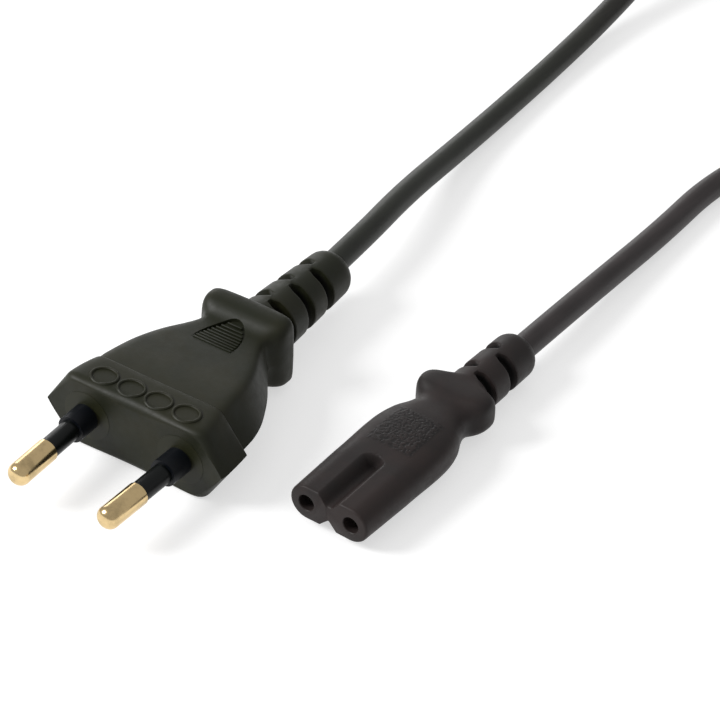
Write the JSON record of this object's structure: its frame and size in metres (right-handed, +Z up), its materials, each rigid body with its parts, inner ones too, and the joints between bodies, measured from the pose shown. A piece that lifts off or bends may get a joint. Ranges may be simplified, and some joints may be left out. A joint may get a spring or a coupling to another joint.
{
  "type": "figure eight power connector",
  "caption": "Figure-eight appliance connector with moulded strain relief on a round black mains cord that ends in a flat two-pin plug.",
  "frame": {"origin": "on the surface that the lead lies on, under the middle of the connector", "axes": "+Y from the connector's mating face towards its cord, +Z up, +X to the connector's right seen from behind its mating face"},
  "size_m": [0.0698, 0.2836, 0.0137],
  "materials": {
    "connector_pvc": "satin moulded PVC, dark reddish brown grey",
    "plug_pvc": "satin moulded PVC, dark olive grey",
    "bridge_plastic": "glossy black",
    "sleeve_plastic": "glossy blue black",
    "carrier_plastic": "natural nylon",
    "brass": "polished",
    "copper": "bare strands",
    "cord_pvc": "satin PVC sheath",
    "core_brown": "PVC insulation",
    "core_blue": "PVC insulation",
    "tie_plastic": "matt black"
  },
  "bodies": {
    "root": {"connector_overmould": "connector_pvc", "contact_carrier": "carrier_plastic", "socket_left": "brass", "socket_right": "brass", "connector_core_left": "core_blue", "connector_core_right": "core_brown", "connector_wire_left": "copper", "connector_wire_right": "copper", "plug_overmould": "plug_pvc", "pin_bridge": "bridge_plastic", "pin_left": "brass", "pin_right": "brass", "pin_sleeve_left": "sleeve_plastic", "pin_sleeve_right": "sleeve_plastic", "plug_core_left": "core_blue", "plug_core_right": "core_brown", "plug_wire_left": "copper", "plug_wire_right": "copper", "cord_connector_side": "cord_pvc", "cord_plug_side": "cord_pvc", "cord_coil": "cord_pvc", "coil_tie": "tie_plastic"}
  },
  "joints": []
}
